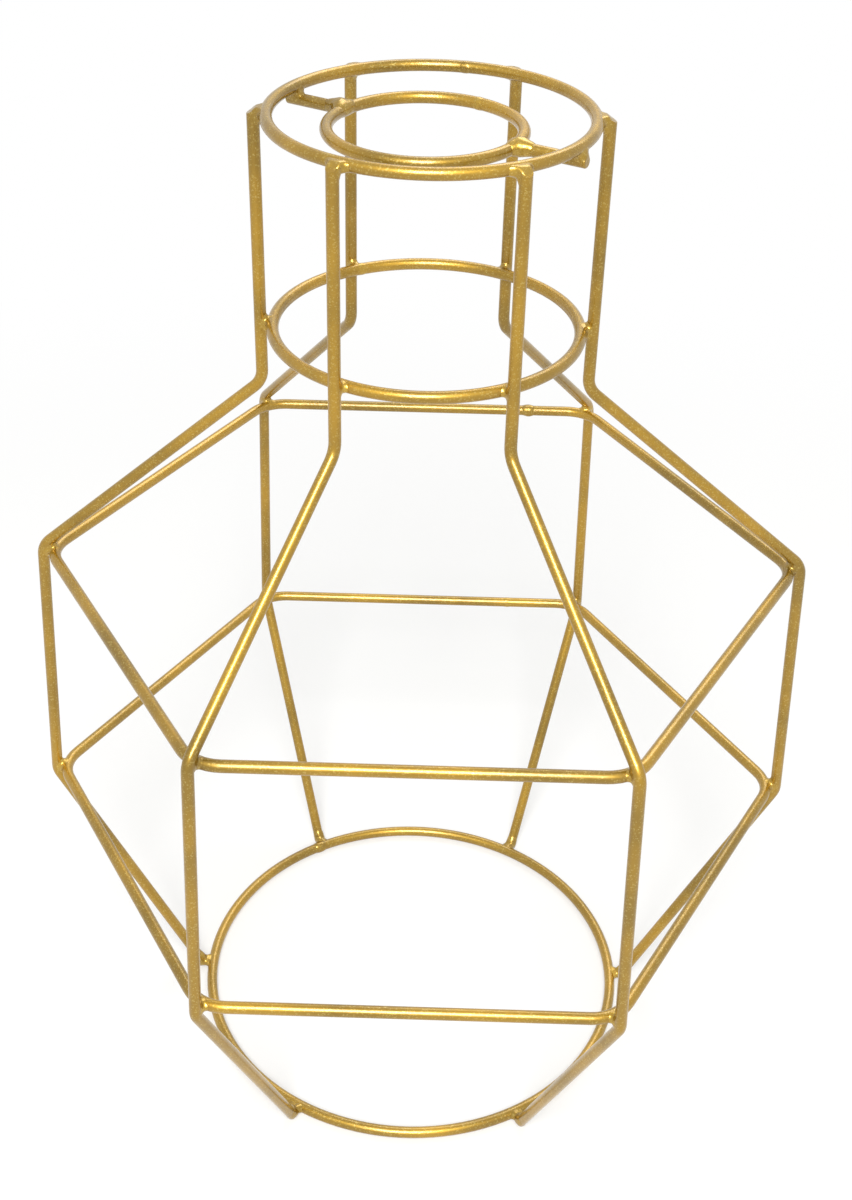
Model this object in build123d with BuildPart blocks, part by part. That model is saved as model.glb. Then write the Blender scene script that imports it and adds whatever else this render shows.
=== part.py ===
from build123d import *
import os
from copy import deepcopy
from math import asin, atan2, cos, degrees, hypot, pi, radians, sin, tan

os.makedirs("parts", exist_ok=True)

# A cage lampshade of round steel wire. Six bent ribs stand outside five closed wires, and two short
# struts carry a sixth, the ring that the lamp holder clamps. Weld beads join the wires where they
# meet. Sizes are in millimetres, +Z is up, and the origin is the centre of the bottom ring, level
# with its underside.

# Wire
wire_diameter = 3.0
wire_radius = wire_diameter / 2
weld_gap = 0.1  # left between two wires that the weld metal joins

# Whole shade
rib_count = 6
overall_height = 272.0

# Neck
top_ring_radius = 37.7  # ring radii are those of the wire's centreline
neck_ring_radius = 37.3
neck_ring_height = 217.5
neck_bend_height = 201.5

# Body: the corners of the ribs' centreline
shoulder_radius = 99.2
shoulder_height = 151.0
hip_radius = 101.7
hip_height = 75.5
bottom_ring_radius = 60.2

# Bends
rib_bend_radius = 6.0
hexagon_corner_radius = 11.0
lower_hexagon_lift = 1.5  # how far above the ribs' lower corners the lower hexagon lies

# Rib ends
rib_end_slope = 32.0  # degrees, the slant that the top weld leaves on each rib
rib_end_below_top = 1.2  # from the top of the shade to the middle of the slanted end
rib_foot_clearance = 0.15  # from the surface that the shade stands on
rib_end_rounding = 0.4

# Lamp holder ring and its struts
holder_bore = 42.3
holder_ring_radius = holder_bore / 2 + wire_radius
holder_offset = Vector(-1.4, -0.5)
strut_angles = {"left": 150.0, "right": 330.0}
strut_overhang = 2.0  # past the top ring's centreline

# Weld beads
bead_side = 4.0  # across each wire, a little more than the wire
bead_thickness = 2.6  # from wire to wire
bead_bevel = 0.7
top_bead_drop = 0.9  # below the top ring's centreline, so that the bead stays under its crest
foot_bead_lift = 2.2  # along the rib, so that the bead stays clear of the floor
strut_end_bead_height = 3.0
strut_end_bead_lift = 0.8  # the bead at a strut's inner end lies over the top of the joint
arc_under_bead = 24.0  # degrees of a ring that shape the bead on it

# Butt seams, where a ring's two ends are welded together, as angles about its centre
ring_seam_angle = 90.0
holder_seam_angle = 56.0

# Seat: centre to centre where two wires are welded across each other
seat = wire_diameter + weld_gap

# Heights of the flat wires that follow from the rest
top_ring_height = overall_height - wire_radius
bottom_ring_height = wire_radius
strut_height = top_ring_height - seat
holder_ring_height = strut_height


# Rib centreline, as points of radius and height

neck_lean = (top_ring_radius - neck_ring_radius) / (top_ring_height - neck_ring_height)


def neck_radius_at(height):
    """Radius of the rib's centreline on its neck run, which passes outside both neck rings."""
    return neck_ring_radius + seat + neck_lean * (height - neck_ring_height)


# The lower run passes outside the bottom ring at the seat's distance
ring_to_hip = hypot(hip_radius - bottom_ring_radius, hip_height - bottom_ring_height)
ring_to_hip_angle = atan2(hip_height - bottom_ring_height, hip_radius - bottom_ring_radius)
lower_run_angle = ring_to_hip_angle + asin(seat / ring_to_hip)
foot_height = rib_foot_clearance + wire_radius * cos(lower_run_angle)
foot_radius = hip_radius - (hip_height - foot_height) / tan(lower_run_angle)

rib_points = [
    (neck_radius_at(overall_height), overall_height),
    (neck_radius_at(neck_bend_height), neck_bend_height),
    (shoulder_radius, shoulder_height),
    (hip_radius, hip_height),
    (foot_radius, foot_height),
]


# Upper hexagon: nests inside the ribs' shoulder bend, on the line that halves it

shoulder_run_angle = atan2(shoulder_height - neck_bend_height, shoulder_radius - rib_points[1][0])
side_run_angle = atan2(hip_height - shoulder_height, hip_radius - shoulder_radius)
shoulder_turn = shoulder_run_angle - side_run_angle
shoulder_inward_angle = (shoulder_run_angle + side_run_angle) / 2 - pi / 2
shoulder_to_nest = rib_bend_radius * (1 / cos(shoulder_turn / 2) - 1) + seat
corner_cut = hexagon_corner_radius * (1 / cos(pi / rib_count) - 1)  # a rounded corner's set-back
upper_nest_radius = shoulder_radius + shoulder_to_nest * cos(shoulder_inward_angle)
upper_hexagon_height = shoulder_height + shoulder_to_nest * sin(shoulder_inward_angle)
upper_hexagon_radius = upper_nest_radius + corner_cut

# Lower hexagon: lies against the ribs' straight side run, just above its lower bend
lower_hexagon_height = hip_height + lower_hexagon_lift
side_radius_there = hip_radius + lower_hexagon_lift / tan(side_run_angle)
lower_nest_radius = side_radius_there - seat / abs(sin(side_run_angle))
lower_hexagon_radius = lower_nest_radius + corner_cut


# Ribs: one wire each, bent three times, with a slanted top end and a square foot

with BuildPart() as rib:
    with BuildLine(Plane.XZ) as rib_line:
        FilletPolyline(*rib_points, radius=rib_bend_radius)
    along = rib_line.line % 0
    with BuildSketch(Plane(rib_line.line @ 0, x_dir=along.cross(Vector(0, 1, 0)), z_dir=along)):
        Circle(wire_radius)
    sweep()
    fillet(rib.faces().sort_by(Axis.Z)[0].edges(), rib_end_rounding)
    end_centre = (neck_radius_at(overall_height), 0, overall_height - rib_end_below_top)
    end_normal = Vector(0, 0, 1).rotate(Axis.Y, rib_end_slope)
    split(bisect_by=Plane(end_centre, z_dir=end_normal), keep=Keep.BOTTOM)

for number in range(rib_count):
    with BuildPart() as placed_rib:
        with PolarLocations(0, 1, start_angle=number * 360 / rib_count):
            add(rib.part)
    placed_rib.part.label = f"rib_{number + 1}"
    export_step(placed_rib.part, f"parts/rib_{number + 1}.step")


# Struts: two straight wires that pass under the top ring and end against the holder ring

def holder_ring_outside(angle):
    """Distance from the shade's axis to the holder ring's outer side, along a strut's direction."""
    along = Vector(cos(radians(angle)), sin(radians(angle)))
    aside = holder_offset.cross(along).length
    outside_radius = holder_ring_radius + wire_radius
    return holder_offset.dot(along) + (outside_radius**2 - aside**2) ** 0.5


struts = {}
for side, angle in strut_angles.items():
    direction = Vector(cos(radians(angle)), sin(radians(angle)))
    strut_start = holder_ring_outside(angle) + weld_gap
    inner_end = direction * strut_start + Vector(0, 0, strut_height)
    with BuildPart() as strut:
        with BuildSketch(Plane(inner_end, x_dir=direction.cross(Vector(0, 0, 1)), z_dir=direction)):
            Circle(wire_radius)
        extrude(amount=top_ring_radius + strut_overhang - strut_start)
        outer_end = strut.faces().filter_by(GeomType.PLANE).sort_by(SortBy.DISTANCE)[-1]
        fillet(outer_end.edges(), rib_end_rounding)
    strut.part.label = f"holder_strut_{side}"
    export_step(strut.part, f"parts/holder_strut_{side}.step")
    struts[side] = strut.part


# Round rings: a wire rolled to a circle and butt welded

def plain_ring(radius, height, start_angle, centre=Vector(0, 0), arc=360.0):
    """A round ring of wire, or an arc of it, before any wire is pressed in. It starts at the seam."""
    middle = Vector(centre.X, centre.Y, height)
    inward = -Vector(cos(radians(start_angle)), sin(radians(start_angle)))
    with BuildPart() as ring:
        with BuildSketch(Plane(origin=middle, x_dir=inward, z_dir=inward.cross(Vector(0, 0, 1)))):
            with Locations((-radius, 0)):
                Circle(wire_radius)
        revolve(axis=Axis(middle, (0, 0, 1)), revolution_arc=arc)
    return ring.part


# Hexagons: one wire each, bent to six rounded corners that lie inside the ribs

def plain_hexagon(corner_radius, height):
    """A closed hexagon of wire: six rounded corners on the ribs' lines, each with half a side."""
    half_angle = pi / rib_count
    half_side = corner_radius * sin(half_angle)
    side_middle = (half_side / tan(half_angle) * cos(half_angle), half_side * cos(half_angle))
    with BuildPart() as corner:
        with BuildLine(Plane.XY.offset(height)) as corner_line:
            FilletPolyline(
                (side_middle[0], -side_middle[1]),
                (corner_radius, 0),
                side_middle,
                radius=hexagon_corner_radius,
            )
        along = corner_line.line % 0
        with BuildSketch(Plane(corner_line.line @ 0, x_dir=Vector(0, 0, 1).cross(along), z_dir=along)):
            Circle(wire_radius)
        sweep()
    with BuildPart() as hexagon:
        with PolarLocations(0, rib_count):
            add(corner.part)
    return hexagon.part


# Closed wires

closed_wires = {
    "top_ring": plain_ring(top_ring_radius, top_ring_height, ring_seam_angle),
    "neck_ring": plain_ring(neck_ring_radius, neck_ring_height, ring_seam_angle),
    "bottom_ring": plain_ring(bottom_ring_radius, bottom_ring_height, ring_seam_angle),
    "upper_hexagon": plain_hexagon(upper_hexagon_radius, upper_hexagon_height),
    "lower_hexagon": plain_hexagon(lower_hexagon_radius, lower_hexagon_height),
    "holder_ring": plain_ring(
        holder_ring_radius, holder_ring_height, holder_seam_angle, holder_offset
    ),
}
for name, closed_wire in closed_wires.items():
    closed_wire.label = name
    export_step(closed_wire, f"parts/{name}.step")


# Weld beads: each fills the crook between two wires and follows their surfaces

sideways = Vector(0, 1, 0)
upward = Vector(0, 0, 1)
crossing_bead = (bead_thickness, bead_side, bead_side)
strut_end_bead = (bead_side, strut_end_bead_height, bead_side)


def bead_between(middle, towards, along, size, wires):
    """One bead: a bevelled lump round a point, less the wires that it joins.

    Its sides point towards one of the wires and along that wire.
    """
    with BuildPart() as bead:
        with Locations(Plane(middle, x_dir=towards, z_dir=along)):
            Box(*size)
        chamfer(bead.edges(), bead_bevel)
        for wire in wires:
            add(deepcopy(wire), mode=Mode.SUBTRACT)
    return bead.part


def arc_at(angle, radius, height, centre=Vector(0, 0)):
    """The short arc of a ring round the place where a bead sits on it."""
    return plain_ring(radius, height, angle - arc_under_bead / 2, centre, arc_under_bead)


outward = Vector(1, 0, 0)
nest_outward = Vector(cos(shoulder_inward_angle), 0, sin(shoulder_inward_angle)) * -1
foot_outward = Vector(sin(lower_run_angle), 0, -cos(lower_run_angle))
up_the_foot = Vector(cos(lower_run_angle), 0, sin(lower_run_angle))
rib_beads = {
    "top_ring": (
        Vector(top_ring_radius, 0, top_ring_height - top_bead_drop),
        outward,
        arc_at(0, top_ring_radius, top_ring_height),
    ),
    "neck_ring": (
        Vector(neck_ring_radius, 0, neck_ring_height),
        outward,
        arc_at(0, neck_ring_radius, neck_ring_height),
    ),
    "upper_hexagon": (
        Vector(upper_nest_radius, 0, upper_hexagon_height),
        nest_outward,
        closed_wires["upper_hexagon"],
    ),
    "lower_hexagon": (
        Vector(lower_nest_radius, 0, lower_hexagon_height),
        outward,
        closed_wires["lower_hexagon"],
    ),
    "bottom_ring": (
        Vector(bottom_ring_radius, 0, bottom_ring_height) + up_the_foot * foot_bead_lift,
        foot_outward,
        arc_at(0, bottom_ring_radius, bottom_ring_height),
    ),
}
for name, (wire_middle, towards_rib, joined_wire) in rib_beads.items():
    middle = wire_middle + towards_rib * seat / 2
    along_rib = towards_rib.cross(sideways)
    one_bead = bead_between(middle, towards_rib, along_rib, crossing_bead, [rib.part, joined_wire])
    with BuildPart() as six_beads:
        with PolarLocations(0, rib_count):
            add(one_bead)
    six_beads.part.label = f"{name}_welds"
    export_step(six_beads.part, f"parts/{name}_welds.step")

with BuildPart() as strut_beads:
    for side, angle in strut_angles.items():
        direction = Vector(cos(radians(angle)), sin(radians(angle)))
        along_ring = direction.cross(upward)
        under_top_ring = direction * top_ring_radius + upward * (strut_height + seat / 2)
        top_arc = arc_at(angle, top_ring_radius, top_ring_height)
        add(bead_between(under_top_ring, upward, along_ring, crossing_bead, [struts[side], top_arc]))
        at_holder_ring = direction * holder_ring_outside(angle) + upward * strut_height
        from_ring_centre = at_holder_ring - holder_offset
        angle_on_ring = degrees(atan2(from_ring_centre.Y, from_ring_centre.X))
        holder_arc = arc_at(angle_on_ring, holder_ring_radius, holder_ring_height, holder_offset)
        over_joint = at_holder_ring + upward * strut_end_bead_lift
        add(bead_between(over_joint, direction, along_ring, strut_end_bead, [struts[side], holder_arc]))
strut_beads.part.label = "holder_strut_welds"
export_step(strut_beads.part, "parts/holder_strut_welds.step")
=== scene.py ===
"""A gold painted wire cage lampshade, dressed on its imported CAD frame.

The CAD wires keep their shape and get the paint. The plain CAD weld beads are replaced by ones
that flow into the wires they join, as metal does that was melted by hand.
"""
import enum
import logging
import math
from dataclasses import dataclass, field

import bmesh
import bpy
from mathutils import Matrix, Vector, noise
from mathutils.bvhtree import BVHTree


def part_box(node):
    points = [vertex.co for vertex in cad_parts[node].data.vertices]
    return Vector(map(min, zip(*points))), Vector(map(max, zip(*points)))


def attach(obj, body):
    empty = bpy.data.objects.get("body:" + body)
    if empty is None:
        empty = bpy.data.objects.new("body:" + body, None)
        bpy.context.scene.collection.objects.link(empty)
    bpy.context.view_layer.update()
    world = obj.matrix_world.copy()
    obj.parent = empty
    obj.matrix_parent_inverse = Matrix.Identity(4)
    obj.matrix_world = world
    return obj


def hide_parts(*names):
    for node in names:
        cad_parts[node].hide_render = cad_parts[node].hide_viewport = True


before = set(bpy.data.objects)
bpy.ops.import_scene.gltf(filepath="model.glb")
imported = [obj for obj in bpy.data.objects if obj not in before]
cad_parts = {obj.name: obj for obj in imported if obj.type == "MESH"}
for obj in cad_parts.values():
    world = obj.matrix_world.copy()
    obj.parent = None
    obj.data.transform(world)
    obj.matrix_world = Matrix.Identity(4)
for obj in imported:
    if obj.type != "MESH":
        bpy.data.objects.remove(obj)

LOG = logging.getLogger("wire_lampshade")
MM = 0.001
SAME_POINT_MM = 0.001  # corners of a mesh that lie this near to each other are one
WHITE = (1.0, 1.0, 1.0, 1.0)
RIBS = tuple(f"rib_{number}" for number in range(1, 7))


# Shader helpers


def hex_colour(code: str) -> tuple[float, float, float, float]:
    """Turn an sRGB hex colour into the linear one that the shaders take.

    Args:
        code: Six hex digits, with or without a leading hash.

    Returns:
        Red, green, blue and an alpha of 1.
    """
    digits = code.lstrip("#")
    linear = []
    for start in (0, 2, 4):
        value = int(digits[start:start + 2], 16) / 255
        linear.append(value / 12.92 if value <= 0.04045 else ((value + 0.055) / 1.055) ** 2.4)
    return (linear[0], linear[1], linear[2], 1.0)


def blank_material(name: str) -> bpy.types.Material:
    """Make a material with an empty node tree.

    Args:
        name: The material's name.

    Returns:
        The new material.
    """
    made = bpy.data.materials.new(name)
    made.use_nodes = True
    made.node_tree.nodes.clear()
    return made


def add_node(
    material: bpy.types.Material | bpy.types.World,
    kind: str,
    settings: dict[str, object] | None = None,
    links: dict[str, bpy.types.NodeSocket] | None = None,
) -> bpy.types.Node:
    """Add a shader node, set it and link what feeds it.

    Args:
        material: The material or world whose tree takes the node.
        kind: Blender's type name of the node.
        settings: Values by name. A name that is an input goes to that socket, any other is a property.
        links: Output sockets by the name or number of the input that each feeds.

    Returns:
        The new node.
    """
    tree = material.node_tree
    node = tree.nodes.new(kind)
    for name, value in (settings or {}).items():
        if hasattr(node, name) and name not in node.inputs:
            setattr(node, name, value)
        else:
            node.inputs[name].default_value = value
    for name, source in (links or {}).items():
        tree.links.new(source, node.inputs[int(name) if name.isdigit() else name])
    return node


def per_metre(size_mm: float) -> float:
    """Scale of a pattern whose features are that many millimetres across."""
    return 1000.0 / size_mm


def seen_or_mirrored(backdrop: bpy.types.Material | bpy.types.World) -> bpy.types.NodeSocket:
    """Tell the rays that show a backdrop from the ones that light the object.

    Args:
        backdrop: The material or world that asks.

    Returns:
        A socket that is 1 for camera, glossy and transmission rays and 0 for the rest.
    """
    path = add_node(backdrop, "ShaderNodeLightPath")
    either = add_node(
        backdrop, "ShaderNodeMath", {"operation": "MAXIMUM"},
        {"0": path.outputs["Is Camera Ray"], "1": path.outputs["Is Glossy Ray"]},
    )
    return add_node(
        backdrop, "ShaderNodeMath", {"operation": "MAXIMUM"},
        {"0": either.outputs[0], "1": path.outputs["Is Transmission Ray"]},
    ).outputs[0]


# Finishes


class PaintedOn(enum.Enum):
    """What the gold paint lies on, which changes how it looks."""

    WIRE = "wire"
    WELD = "weld"


@dataclass(frozen=True)
class GoldPaint:
    """Satin gold paint, sprayed on steel wire.

    Metal flakes in a clear binder: a bright line where the light falls along the wire, a fine
    speckle of flakes with a painted glint on some of them, an ochre body colour, an olive brown
    where the film is thin, and a pale sheen where the clear binder is seen at a glancing angle.

    Attributes:
        place: What it lies on.
        bright: The colour of a painted glint, put on a flake as if it caught the light.
        body: The ochre of a full film.
        thin: The olive brown of a thin film and of dull flakes.
        rim: The tint of the metal at a glancing angle.
        metallic: How far the film acts as bare metal.
        roughness: The film's roughness.
        glossier: How much less rough it is at the foot of the orange peel.
        duller: How much rougher it is at the top of the orange peel.
        cloud_mm: The width of a patch of thin or full film.
        cloud_edges: The noise levels at which the film is thin and full.
        flake_mm: The width of a flake. Real ones are under 0.1 mm, drawn coarse so that they show.
        glint_share: The share of flakes that get a painted glint.
        glint_mix: How much of the painted glint colour the brightest flake shows.
        dull_share: The share of flakes that are dull.
        dull_mix: How much of the thin film's colour the dullest flake shows.
        orange_peel_mm: The width of a bump of the orange peel.
        peel_strength: How strongly the orange peel bends the light.
        peel_depth_mm: How deep it is.
        grain_strength: How strongly the flakes' unevenness bends the light.
        grain_depth_mm: How deep it is.
        binder: How much of the clear binder lies over the flakes.
        binder_roughness: The clear binder's roughness.
    """

    place: PaintedOn
    bright: str = "#F2E28E"
    body: str = "#B28A22"
    thin: str = "#8C6E1B"
    rim: str = "#E2DAC4"
    metallic: float = 0.8
    roughness: float = 0.39
    glossier: float = 0.06
    duller: float = 0.10
    cloud_mm: float = 32.0
    cloud_edges: tuple[float, float] = (0.34, 0.62)
    flake_mm: float = 0.3
    glint_share: float = 0.2
    glint_mix: float = 0.24
    dull_share: float = 0.12
    dull_mix: float = 0.2
    orange_peel_mm: float = 1.3
    peel_strength: float = 0.25
    peel_depth_mm: float = 0.06
    grain_strength: float = 0.22
    grain_depth_mm: float = 0.03
    binder: float = 0.9
    binder_roughness: float = 0.2

    @classmethod
    def on(cls, place: PaintedOn) -> "GoldPaint":
        """Choose the paint for a place.

        Args:
            place: What it lies on.

        Returns:
            The paint, which is lighter and glossier where it pooled on the welds.
        """
        if place is PaintedOn.WELD:
            return cls(place, body="#BC962E", roughness=0.3)
        return cls(place)

    def film_colour(
        self, made: bpy.types.Material, where: bpy.types.NodeSocket, flake: bpy.types.Node
    ) -> bpy.types.NodeSocket:
        """Mix the film's colour from its clouds, its flakes with a painted glint and its dull ones.

        Args:
            made: The material that takes the nodes.
            where: The place on the object.
            flake: Three chance numbers for each flake, as red, green and blue.

        Returns:
            The colour.
        """
        clouds = add_node(
            made, "ShaderNodeTexNoise",
            {"Scale": per_metre(self.cloud_mm), "Detail": 3.0, "Roughness": 0.55},
            {"Vector": where},
        )
        fullness = add_node(
            made, "ShaderNodeMapRange",
            {"From Min": self.cloud_edges[0], "From Max": self.cloud_edges[1]},
            {"Value": clouds.outputs["Fac"]},
        )
        body = add_node(
            made, "ShaderNodeMixRGB",
            {"Color1": hex_colour(self.thin), "Color2": hex_colour(self.body)},
            {"Fac": fullness.outputs["Result"]},
        )
        # Painted glint: a share of the flakes is painted in the bright colour, whatever the lamps do.
        painted_glint = add_node(
            made, "ShaderNodeMapRange",
            {
                "From Min": 1.0 - self.glint_share, "From Max": 1.0,
                "To Min": 0.0, "To Max": self.glint_mix,
            },
            {"Value": flake.outputs["Red"]},
        )
        with_painted_glints = add_node(
            made, "ShaderNodeMixRGB",
            {"Color2": hex_colour(self.bright)},
            {"Fac": painted_glint.outputs["Result"], "Color1": body.outputs["Color"]},
        )
        dullness = add_node(
            made, "ShaderNodeMapRange",
            {
                "From Min": 0.0, "From Max": self.dull_share,
                "To Min": self.dull_mix, "To Max": 0.0,
            },
            {"Value": flake.outputs["Green"]},
        )
        return add_node(
            made, "ShaderNodeMixRGB",
            {"Color2": hex_colour(self.thin)},
            {"Fac": dullness.outputs["Result"], "Color1": with_painted_glints.outputs["Color"]},
        ).outputs["Color"]

    def film_relief(
        self, made: bpy.types.Material, peel_height: bpy.types.NodeSocket, flake: bpy.types.Node
    ) -> bpy.types.NodeSocket:
        """Give the film its orange peel and the fine grain of its flakes.

        Args:
            made: The material that takes the nodes.
            peel_height: The height of the orange peel.
            flake: Three chance numbers for each flake, as red, green and blue.

        Returns:
            The direction that the surface faces.
        """
        peel = add_node(
            made, "ShaderNodeBump",
            {"Strength": self.peel_strength, "Distance": self.peel_depth_mm * MM},
            {"Height": peel_height},
        )
        return add_node(
            made, "ShaderNodeBump",
            {"Strength": self.grain_strength, "Distance": self.grain_depth_mm * MM},
            {"Height": flake.outputs["Blue"], "Normal": peel.outputs["Normal"]},
        ).outputs["Normal"]

    def material(self) -> bpy.types.Material:
        """Build the paint's node tree.

        Returns:
            The finished material.
        """
        made = blank_material(f"gold_paint_on_{self.place.value}")
        where = add_node(made, "ShaderNodeTexCoord").outputs["Object"]
        flakes = add_node(
            made, "ShaderNodeTexVoronoi",
            {"Scale": per_metre(self.flake_mm), "feature": "F1"},
            {"Vector": where},
        )
        flake = add_node(
            made, "ShaderNodeSeparateColor", None, {"Color": flakes.outputs["Color"]},
        )
        peel_height = add_node(
            made, "ShaderNodeTexNoise",
            {"Scale": per_metre(self.orange_peel_mm), "Detail": 2.0},
            {"Vector": where},
        ).outputs["Fac"]
        roughness = add_node(
            made, "ShaderNodeMapRange",
            {"To Min": self.roughness - self.glossier, "To Max": self.roughness + self.duller},
            {"Value": peel_height},
        )
        shader = add_node(
            made, "ShaderNodeBsdfPrincipled",
            {
                "Metallic": self.metallic, "Specular Tint": hex_colour(self.rim),
                "Coat Weight": self.binder, "Coat Roughness": self.binder_roughness,
            },
            {
                "Base Color": self.film_colour(made, where, flake),
                "Roughness": roughness.outputs["Result"],
                "Normal": self.film_relief(made, peel_height, flake),
            },
        )
        add_node(
            made, "ShaderNodeOutputMaterial", None, {"Surface": shader.outputs["BSDF"]},
        )
        return made


@dataclass(frozen=True)
class StudioCard:
    """A plain matt white card that shows white and keeps the shade's soft shadow.

    Attributes:
        colour: The card's own colour.
        roughness: Its roughness, which is that of uncoated card.
        specular: How little it shines.
        near_white: How much of what is seen beside the shade is plain white, not lit card.
        fade_mm: How far from the middle the card turns plain white, from and to.
    """

    colour: str = "#F7F7F5"
    roughness: float = 0.9
    specular: float = 0.1
    near_white: float = 0.35
    fade_mm: tuple[float, float] = (150.0, 520.0)

    def material(self) -> bpy.types.Material:
        """Build the card's node tree.

        Returns:
            The finished material.
        """
        made = blank_material("studio_floor_card")
        card = add_node(
            made, "ShaderNodeBsdfPrincipled",
            {
                "Base Color": hex_colour(self.colour), "Roughness": self.roughness,
                "Specular IOR Level": self.specular,
            },
        )
        white = add_node(made, "ShaderNodeEmission", {"Color": WHITE, "Strength": 1.0})
        away = add_node(
            made, "ShaderNodeVectorMath", {"operation": "LENGTH"},
            {"0": add_node(made, "ShaderNodeTexCoord").outputs["Object"]},
        )
        plain = add_node(
            made, "ShaderNodeMapRange",
            {
                "interpolation_type": "SMOOTHSTEP", "From Min": self.fade_mm[0] * MM,
                "From Max": self.fade_mm[1] * MM, "To Min": self.near_white, "To Max": 1.0,
            },
            {"Value": away.outputs["Value"]},
        )
        share = add_node(
            made, "ShaderNodeMath", {"operation": "MULTIPLY"},
            {"0": plain.outputs["Result"], "1": seen_or_mirrored(made)},
        )
        mixed = add_node(
            made, "ShaderNodeMixShader", None,
            {"Fac": share.outputs[0], "1": card.outputs["BSDF"], "2": white.outputs["Emission"]},
        )
        add_node(made, "ShaderNodeOutputMaterial", None, {"Surface": mixed.outputs["Shader"]})
        return made


# Weld beads


class WireSurface:
    """Signed distance to the surface of some CAD wires."""

    def __init__(self, names: tuple[str, ...]) -> None:
        """Read the wires' meshes.

        Args:
            names: CAD nodes whose surfaces count.
        """
        together = bmesh.new()
        for name in names:
            together.from_mesh(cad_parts[name].data)
        bmesh.ops.remove_doubles(together, verts=together.verts, dist=SAME_POINT_MM * MM)
        bmesh.ops.recalc_face_normals(together, faces=together.faces)
        self.tree = BVHTree.FromBMesh(together)
        together.free()

    def distance(self, point: Vector) -> float:
        """Distance to the wires, negative inside them."""
        nearest, normal, _, reach = self.tree.find_nearest(point)
        return reach if (point - nearest).dot(normal) > 0 else -reach


@dataclass
class WeldBead:
    """One bead of weld metal that flows into the two wires it joins.

    Attributes:
        middle: Its middle, in metres.
        first: One of the wires.
        second: The other wire.
        reach_mm: How far the bead may spread from its middle.
        fillet_mm: How softly it runs into the wires.
        crown_mm: How much metal lies over the wires at its middle.
        ceiling_mm: The height that it stays under.
        lump_mm: How far its lumps and dips depart from a smooth bead.
        lump_width_mm: How wide a lump is.
        sink_mm: How far under the wires' surface its rim ends.
        seed: Makes each bead lumpy in its own way.
        fineness: How often the ball that it starts from is subdivided.
        steps: In how many steps a ray looks for its surface.
        halvings: How often the last step is halved to come nearer.
        smoothings: How often its mesh is smoothed.
    """

    middle: Vector
    first: WireSurface
    second: WireSurface
    reach_mm: float = 3.4
    fillet_mm: float = 2.4
    crown_mm: float = 0.4
    ceiling_mm: float = math.inf
    lump_mm: float = 0.22
    lump_width_mm: float = 1.2
    sink_mm: float = 0.12
    seed: float = 0.0
    fineness: int = 4
    steps: int = 26
    halvings: int = 6
    smoothings: int = 3

    def field_at(self, point: Vector) -> float:
        """Height over the weld's surface, in metres, negative inside.

        Args:
            point: Where to look.

        Returns:
            The softened distance to both wires, less the metal that was added. It is never inside
            above the bead's ceiling or below the surface that the shade stands on.
        """
        one = self.first.distance(point)
        two = self.second.distance(point)
        soft = self.fillet_mm * MM
        blend = max(soft - abs(one - two), 0.0) / soft
        joined = min(one, two) - blend * blend * soft / 4
        away = (point - self.middle).length / (self.reach_mm * MM)
        lumps = noise.noise(point / (self.lump_width_mm * MM) + Vector((self.seed, 0, 0)))
        heap = (self.crown_mm + self.lump_mm * lumps) * (1 - away * away)
        added = heap - self.sink_mm * away
        return max(joined - added * MM, point.z - self.ceiling_mm * MM, -point.z)

    def reach_along(self, ray: Vector) -> float:
        """Find where the metal ends along a ray from the bead's middle.

        Args:
            ray: A direction with a length of 1.

        Returns:
            The distance, in metres, which is at most the bead's reach.
        """
        farthest = self.reach_mm * MM
        inside = 0.0
        for step in range(1, self.steps + 1):
            outside = farthest * step / self.steps
            if self.field_at(self.middle + ray * outside) > 0:
                for _ in range(self.halvings):
                    half = (inside + outside) / 2
                    if self.field_at(self.middle + ray * half) > 0:
                        outside = half
                    else:
                        inside = half
                return inside
            inside = outside
        return farthest

    def add_to(self, target: bmesh.types.BMesh) -> None:
        """Add the bead to a mesh.

        Args:
            target: The mesh that takes it.
        """
        ball = bmesh.ops.create_icosphere(target, subdivisions=self.fineness, radius=1.0)
        for corner in ball["verts"]:
            ray = corner.co.normalized()
            corner.co = self.middle + ray * self.reach_along(ray)
        for _ in range(self.smoothings):
            bmesh.ops.smooth_vert(
                target, verts=ball["verts"], factor=0.5,
                use_axis_x=True, use_axis_y=True, use_axis_z=True,
            )


def painted_bead_piece(
    name: str, shape: bmesh.types.BMesh, finish: bpy.types.Material
) -> bpy.types.Object:
    """Turn a mesh of weld beads into a painted piece that rides on the shade.

    Args:
        name: The new object's name.
        shape: Its mesh, which is freed.
        finish: Its paint.

    Returns:
        The new object.
    """
    bmesh.ops.recalc_face_normals(shape, faces=shape.faces)
    for face in shape.faces:
        face.smooth = True
    data = bpy.data.meshes.new(name)
    shape.to_mesh(data)
    shape.free()
    data.materials.append(finish)
    piece = bpy.data.objects.new(name, data)
    bpy.context.scene.collection.objects.link(piece)
    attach(piece, "root")
    LOG.info("%s: %d faces", name, len(data.polygons))
    return piece


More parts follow.
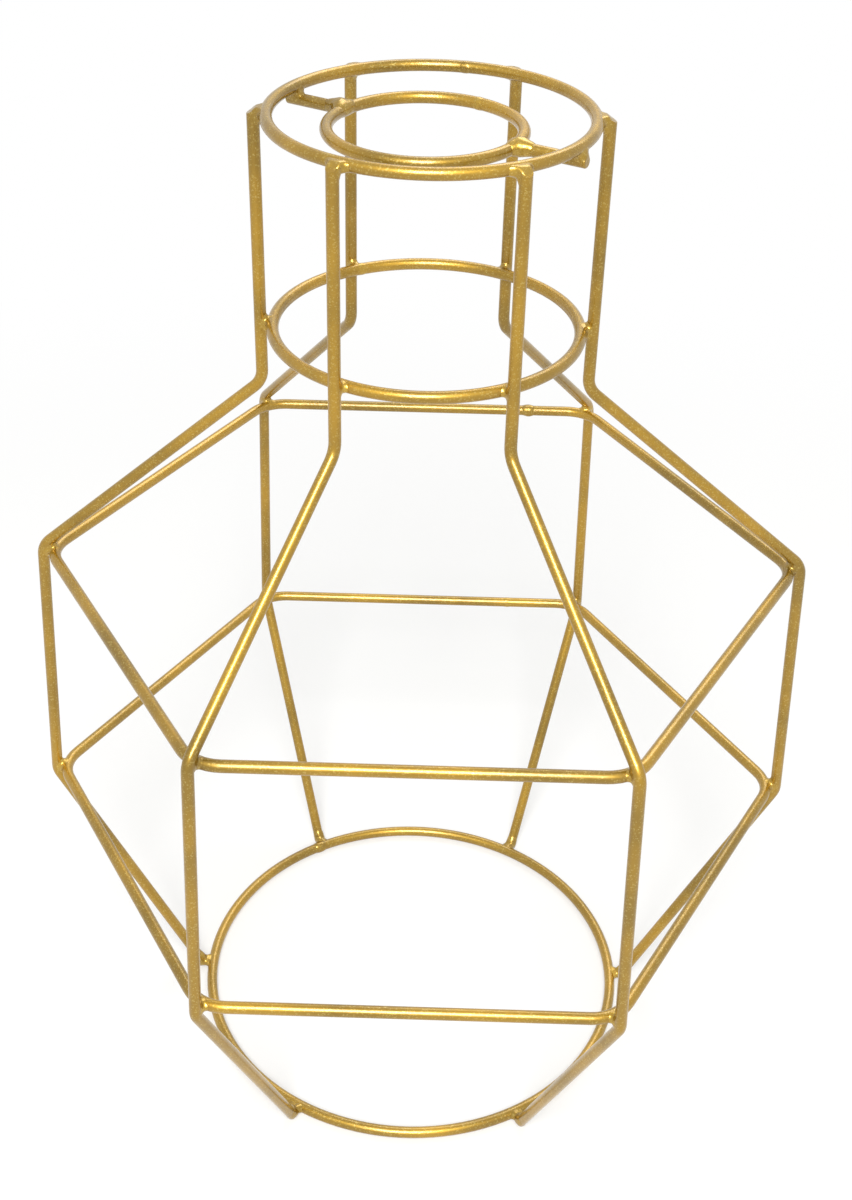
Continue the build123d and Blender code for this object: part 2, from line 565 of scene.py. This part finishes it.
@dataclass
class Joints:
    """The welded joints of one closed wire or of the struts.

    Attributes:
        node: The CAD node that the beads replace.
        finish: The paint on them.
    """

    node: str
    finish: bpy.types.Material

    def bead_middles(self) -> list[Vector]:
        """Find the middles of the CAD beads.

        Returns:
            The middle of each bead's box, in metres, in order round the shade's axis.
        """
        copy = bmesh.new()
        copy.from_mesh(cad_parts[self.node].data)
        bmesh.ops.remove_doubles(copy, verts=copy.verts, dist=SAME_POINT_MM * MM)
        left = set(copy.verts)
        middles = []
        while left:
            first = left.pop()
            bead, front = [first], [first]
            while front:
                for edge in front.pop().link_edges:
                    for other in edge.verts:
                        if other in left:
                            left.discard(other)
                            bead.append(other)
                            front.append(other)
            low = [min(corner.co[axis] for corner in bead) for axis in range(3)]
            high = [max(corner.co[axis] for corner in bead) for axis in range(3)]
            middles.append(Vector([(a + b) / 2 for a, b in zip(low, high)]))
        copy.free()
        return sorted(middles, key=lambda middle: math.atan2(middle.y, middle.x))

    def finish_piece(self, name: str, shape: bmesh.types.BMesh) -> bpy.types.Object:
        """Turn a mesh into a painted piece in place of the CAD beads.

        Args:
            name: The new object's name.
            shape: Its mesh, which is freed.

        Returns:
            The new object.
        """
        piece = painted_bead_piece(name, shape, self.finish)
        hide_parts(self.node)
        return piece


@dataclass
class RibJoints(Joints):
    """Where the six ribs cross one closed wire.

    Attributes:
        wire: The closed wire's node.
        crown_mm: How much metal lies over the wires.
        reach_mm: How far each bead spreads.
        fillet_mm: How softly the beads run into the wires.
        over_wire_mm: How far above the closed wire's top a bead may stand.
        seed_step: What tells one bead's lumps from the next one's.
    """

    wire: str = "top_ring"
    crown_mm: float = 0.15
    reach_mm: float = 3.4
    fillet_mm: float = 1.7
    over_wire_mm: float = 3.0
    seed_step: float = 3.7

    def build(self) -> bpy.types.Object:
        """Make the beads of this closed wire.

        Returns:
            The piece that replaces the CAD beads.
        """
        closed = WireSurface((self.wire,))
        ribs = WireSurface(RIBS)
        wire_top_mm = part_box(self.wire)[1][2] / MM
        shape = bmesh.new()
        for number, middle in enumerate(self.bead_middles()):
            WeldBead(
                middle, closed, ribs, reach_mm=self.reach_mm, fillet_mm=self.fillet_mm,
                crown_mm=self.crown_mm, ceiling_mm=wire_top_mm + self.over_wire_mm,
                seed=self.seed_step * number,
            ).add_to(shape)
        return self.finish_piece(f"{self.wire}_weld_beads", shape)


@dataclass
class StrutJoints(Joints):
    """Where the two struts meet the top ring and the holder ring.

    Attributes:
        holder_side_mm: A joint nearer to the shade's axis than this is one on the holder ring.
        holder_reach_mm: How far a bead on the holder ring spreads.
        holder_crown_mm: How much metal lies over the wires there.
        top_reach_mm: How far a bead on the top ring spreads.
        top_crown_mm: How much metal lies over the wires there.
        first_seed: What gives the first bead its lumps.
        seed_step: What tells one bead's lumps from the next one's.
    """

    holder_side_mm: float = 32.0
    holder_reach_mm: float = 4.4
    holder_crown_mm: float = 0.75
    top_reach_mm: float = 3.0
    top_crown_mm: float = 0.15
    first_seed: float = 11.0
    seed_step: float = 5.3

    def build(self) -> bpy.types.Object:
        """Make the struts' beads.

        Returns:
            The piece that replaces the CAD beads.
        """
        rings = WireSurface(("top_ring", "holder_ring"))
        struts = WireSurface(("holder_strut_left", "holder_strut_right"))
        shape = bmesh.new()
        for number, middle in enumerate(self.bead_middles()):
            on_holder = math.hypot(middle.x, middle.y) < self.holder_side_mm * MM
            WeldBead(
                middle, rings, struts,
                reach_mm=self.holder_reach_mm if on_holder else self.top_reach_mm,
                crown_mm=self.holder_crown_mm if on_holder else self.top_crown_mm,
                seed=self.first_seed + self.seed_step * number,
            ).add_to(shape)
        return self.finish_piece("holder_strut_weld_beads", shape)


@dataclass(frozen=True)
class SeamForm:
    """How a seam's bead stands on its wire.

    Attributes:
        reach_mm: How far it may spread from its middle.
        crown_mm: How much metal lies over the wire.
        lump_mm: How far its lumps and dips depart from a smooth bead.
    """

    reach_mm: float
    crown_mm: float
    lump_mm: float


class Seam(enum.Enum):
    """The two kinds of seam on the shade: dressed nearly flush, or left as a rough knot."""

    LOW = SeamForm(reach_mm=2.3, crown_mm=0.3, lump_mm=0.22)
    KNOT = SeamForm(reach_mm=2.6, crown_mm=0.8, lump_mm=0.55)


@dataclass
class Seams:
    """The beads where each closed wire's two ends were butted and melted together.

    Attributes:
        finish: The paint on them.
        ring_angles: Where the round wires are joined, in degrees from +X.
        hexagon_offsets_mm: Where the hexagons' back sides are joined, from the middle plane.
        knots: The wires whose seams were left as rough knots.
        fillet_mm: Nearly nothing, because there is only one wire.
        first_seed: What gives the first bead its lumps.
        seed_step: What tells one bead's lumps from the next one's.
    """

    finish: bpy.types.Material
    ring_angles: dict[str, float] = field(
        default_factory=lambda: {
            "top_ring": 78.0, "holder_ring": 56.0, "neck_ring": 118.0, "bottom_ring": 121.5,
        }
    )
    hexagon_offsets_mm: dict[str, float] = field(
        default_factory=lambda: {"upper_hexagon": 31.0, "lower_hexagon": 28.0}
    )
    knots: tuple[str, ...] = ("bottom_ring", "upper_hexagon")
    fillet_mm: float = 0.01
    first_seed: float = 23.0
    seed_step: float = 4.1

    def places(self) -> dict[str, Vector]:
        """Work out where each seam lies on its wire's centre line.

        Returns:
            The places by the wires' names, in metres.
        """
        found = {}
        for name in (*self.ring_angles, *self.hexagon_offsets_mm):
            low, high = (Vector(corner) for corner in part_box(name))
            middle, wire = (low + high) / 2, high.z - low.z
            if name in self.ring_angles:
                angle = math.radians(self.ring_angles[name])
                radius = (high.x - low.x - wire) / 2
                offset = Vector((math.cos(angle), math.sin(angle), 0.0)) * radius
            else:
                to_back = (high.y - low.y - wire) / 2
                offset = Vector((self.hexagon_offsets_mm[name] * MM, to_back, 0.0))
            found[name] = middle + offset
        return found

    def build(self) -> bpy.types.Object:
        """Make the seams' beads.

        Returns:
            The new piece.
        """
        shape = bmesh.new()
        for number, (name, place) in enumerate(self.places().items()):
            wire = WireSurface((name,))
            form = (Seam.KNOT if name in self.knots else Seam.LOW).value
            WeldBead(
                place, wire, wire, reach_mm=form.reach_mm, fillet_mm=self.fillet_mm,
                crown_mm=form.crown_mm, lump_mm=form.lump_mm,
                seed=self.first_seed + self.seed_step * number,
            ).add_to(shape)
        return painted_bead_piece("wire_seam_beads", shape, self.finish)


# The shade


@dataclass
class Wires:
    """The CAD wires, which keep their shape and get the paint.

    Attributes:
        finish: The paint on them.
        crease_degrees: An edge sharper than this, such as a cut end's, stays sharp.
    """

    finish: bpy.types.Material
    crease_degrees: float = 38.0

    def dress(self) -> None:
        """Paint each wire and shade it as round."""
        for name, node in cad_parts.items():
            if name.endswith("_welds"):
                continue
            node.data.materials.clear()
            node.data.materials.append(self.finish)
            for face in node.data.polygons:
                face.use_smooth = True
            weld = node.modifiers.new("merge_corners", "WELD")
            weld.merge_threshold = SAME_POINT_MM * MM
            split = node.modifiers.new("keep_cut_ends", "EDGE_SPLIT")
            split.split_angle = math.radians(self.crease_degrees)
            LOG.info("%s: painted", name)


class Lampshade:
    """The whole shade: painted wires and the weld beads that hold them together."""

    def rib_joints(self, finish: bpy.types.Material) -> list[RibJoints]:
        """List the joints of the ribs with each closed wire, from the top down.

        Args:
            finish: The paint on their beads.

        Returns:
            The joints. The top ring's beads are large and stay just under its top, and the bottom
            ring's bridge the gap to the ribs' feet.
        """
        return [
            RibJoints(
                "top_ring_welds", finish, "top_ring",
                reach_mm=4.6, fillet_mm=2.6, over_wire_mm=-0.3,
            ),
            RibJoints("neck_ring_welds", finish, "neck_ring"),
            RibJoints("upper_hexagon_welds", finish, "upper_hexagon"),
            RibJoints("lower_hexagon_welds", finish, "lower_hexagon"),
            RibJoints("bottom_ring_welds", finish, "bottom_ring", crown_mm=0.45, reach_mm=3.7),
        ]

    def build(self) -> None:
        """Dress the wires and make the beads."""
        Wires(GoldPaint.on(PaintedOn.WIRE).material()).dress()
        on_welds = GoldPaint.on(PaintedOn.WELD).material()
        for joints in self.rib_joints(on_welds):
            joints.build()
        StrutJoints("holder_strut_welds", on_welds).build()
        Seams(on_welds).build()


# The studio


@dataclass(frozen=True)
class Softbox:
    """A soft lamp that faces the shade.

    Attributes:
        name: The lamp's name.
        place: Where it hangs, in metres.
        face: The width and height of its face, in metres.
        watts: Its power.
        aim_height: The height on the shade's axis that it faces, in metres.
    """

    name: str
    place: tuple[float, float, float]
    face: tuple[float, float]
    watts: float
    aim_height: float = 0.14

    def hang(self) -> None:
        """Hang the lamp."""
        light = bpy.data.lights.new(self.name, "AREA")
        light.shape = "RECTANGLE"
        light.size, light.size_y = self.face
        light.energy = self.watts
        hung = bpy.data.objects.new(self.name, light)
        hung.location = self.place
        towards = Vector((0, 0, self.aim_height)) - Vector(self.place)
        hung.rotation_euler = towards.to_track_quat("-Z", "Y").to_euler()
        bpy.context.scene.collection.objects.link(hung)


@dataclass(frozen=True)
class PhotoCamera:
    """The camera, from a fit of the shade's joints to the photograph.

    Attributes:
        eye_mm: Its place.
        pitch: Degrees that it looks down.
        yaw: Degrees that it turns right.
        roll: Degrees that it leans.
        focal_px: Its focal length in pixels of the picture.
        axis_px: The pixel that its axis goes through.
        picture_px: The picture's width and height.
        sensor_mm: The length of the sensor along the picture's longer side.
        nearest_mm: What lies nearer than this isn't drawn.
    """

    eye_mm: tuple[float, float, float] = (2.23, -379.80, 399.07)
    pitch: float = 29.69
    yaw: float = -0.70
    roll: float = 1.20
    focal_px: float = 1729.5
    axis_px: tuple[float, float] = (413.99, 450.45)
    picture_px: tuple[int, int] = (852, 1200)
    sensor_mm: float = 36.0
    nearest_mm: float = 10.0

    def turned(self) -> Matrix:
        """Work out how the camera is turned.

        Returns:
            Its right, up and back directions, as a rotation.
        """
        pitch, yaw, roll = (math.radians(angle) for angle in (self.pitch, self.yaw, self.roll))
        ahead = Vector((
            math.sin(yaw) * math.cos(pitch), math.cos(yaw) * math.cos(pitch), -math.sin(pitch)
        ))
        level = Vector((math.cos(yaw), -math.sin(yaw), 0.0))
        above = level.cross(ahead)
        right = math.cos(roll) * level + math.sin(roll) * above
        up = -math.sin(roll) * level + math.cos(roll) * above
        return Matrix((right, up, -ahead)).transposed().to_4x4()

    def set_up(self) -> None:
        """Make the camera the scene's own."""
        lens = bpy.data.cameras.new("photo_camera")
        lens.sensor_width = self.sensor_mm
        width, height = self.picture_px
        lens.lens = self.focal_px / height * lens.sensor_width
        lens.shift_x = (width / 2 - self.axis_px[0]) / height
        lens.shift_y = (self.axis_px[1] - height / 2) / height
        lens.clip_start = self.nearest_mm * MM
        seen_from = bpy.data.objects.new("photo_camera", lens)
        seen_from.matrix_world = Matrix.Translation(Vector(self.eye_mm) * MM) @ self.turned()
        bpy.context.scene.collection.objects.link(seen_from)
        bpy.context.scene.camera = seen_from


@dataclass
class Studio:
    """The floor, the lamps, the white surroundings and the camera.

    Attributes:
        room_light: How much light the white room gives, where 1 lights white as white.
        floor_half_side: Half the side of the floor card, in metres.
        lamps: The soft lamps.
    """

    room_light: float = 0.35
    floor_half_side: float = 3.0
    lamps: tuple[Softbox, ...] = (
        Softbox("front_softbox", place=(-0.05, -1.0, 1.15), face=(0.5, 0.8), watts=24.0),
        Softbox("back_softbox", place=(0.3, 1.0, 1.3), face=(0.9, 0.6), watts=6.0),
    )

    def floor(self) -> None:
        """Lay the floor card."""
        shape = bmesh.new()
        bmesh.ops.create_grid(shape, x_segments=1, y_segments=1, size=self.floor_half_side)
        data = bpy.data.meshes.new("studio_floor")
        shape.to_mesh(data)
        shape.free()
        data.materials.append(StudioCard().material())
        card = bpy.data.objects.new("studio_floor", data)
        bpy.context.scene.collection.objects.link(card)

    def surroundings(self) -> None:
        """White to the camera and in reflections, a weaker even light for everything else."""
        world = bpy.data.worlds.new("white_room")
        bpy.context.scene.world = world
        world.use_nodes = True
        world.node_tree.nodes.clear()
        light = add_node(
            world, "ShaderNodeBackground", {"Color": WHITE, "Strength": self.room_light},
        )
        white = add_node(world, "ShaderNodeBackground", {"Color": WHITE, "Strength": 1.0})
        mixed = add_node(
            world, "ShaderNodeMixShader", None,
            {
                "Fac": seen_or_mirrored(world),
                "1": light.outputs["Background"],
                "2": white.outputs["Background"],
            },
        )
        add_node(world, "ShaderNodeOutputWorld", None, {"Surface": mixed.outputs["Shader"]})

    def build(self) -> None:
        """Set up the whole studio."""
        self.floor()
        self.surroundings()
        for lamp in self.lamps:
            lamp.hang()
        PhotoCamera().set_up()
        bpy.context.scene.view_settings.view_transform = "Standard"
        LOG.info("studio: camera, floor and lamps")


def main() -> None:
    """Build the shade and its studio."""
    logging.basicConfig(level=logging.INFO, format="%(name)s: %(message)s")
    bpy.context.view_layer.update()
    Lampshade().build()
    Studio().build()


if __name__ == "__main__":
    main()
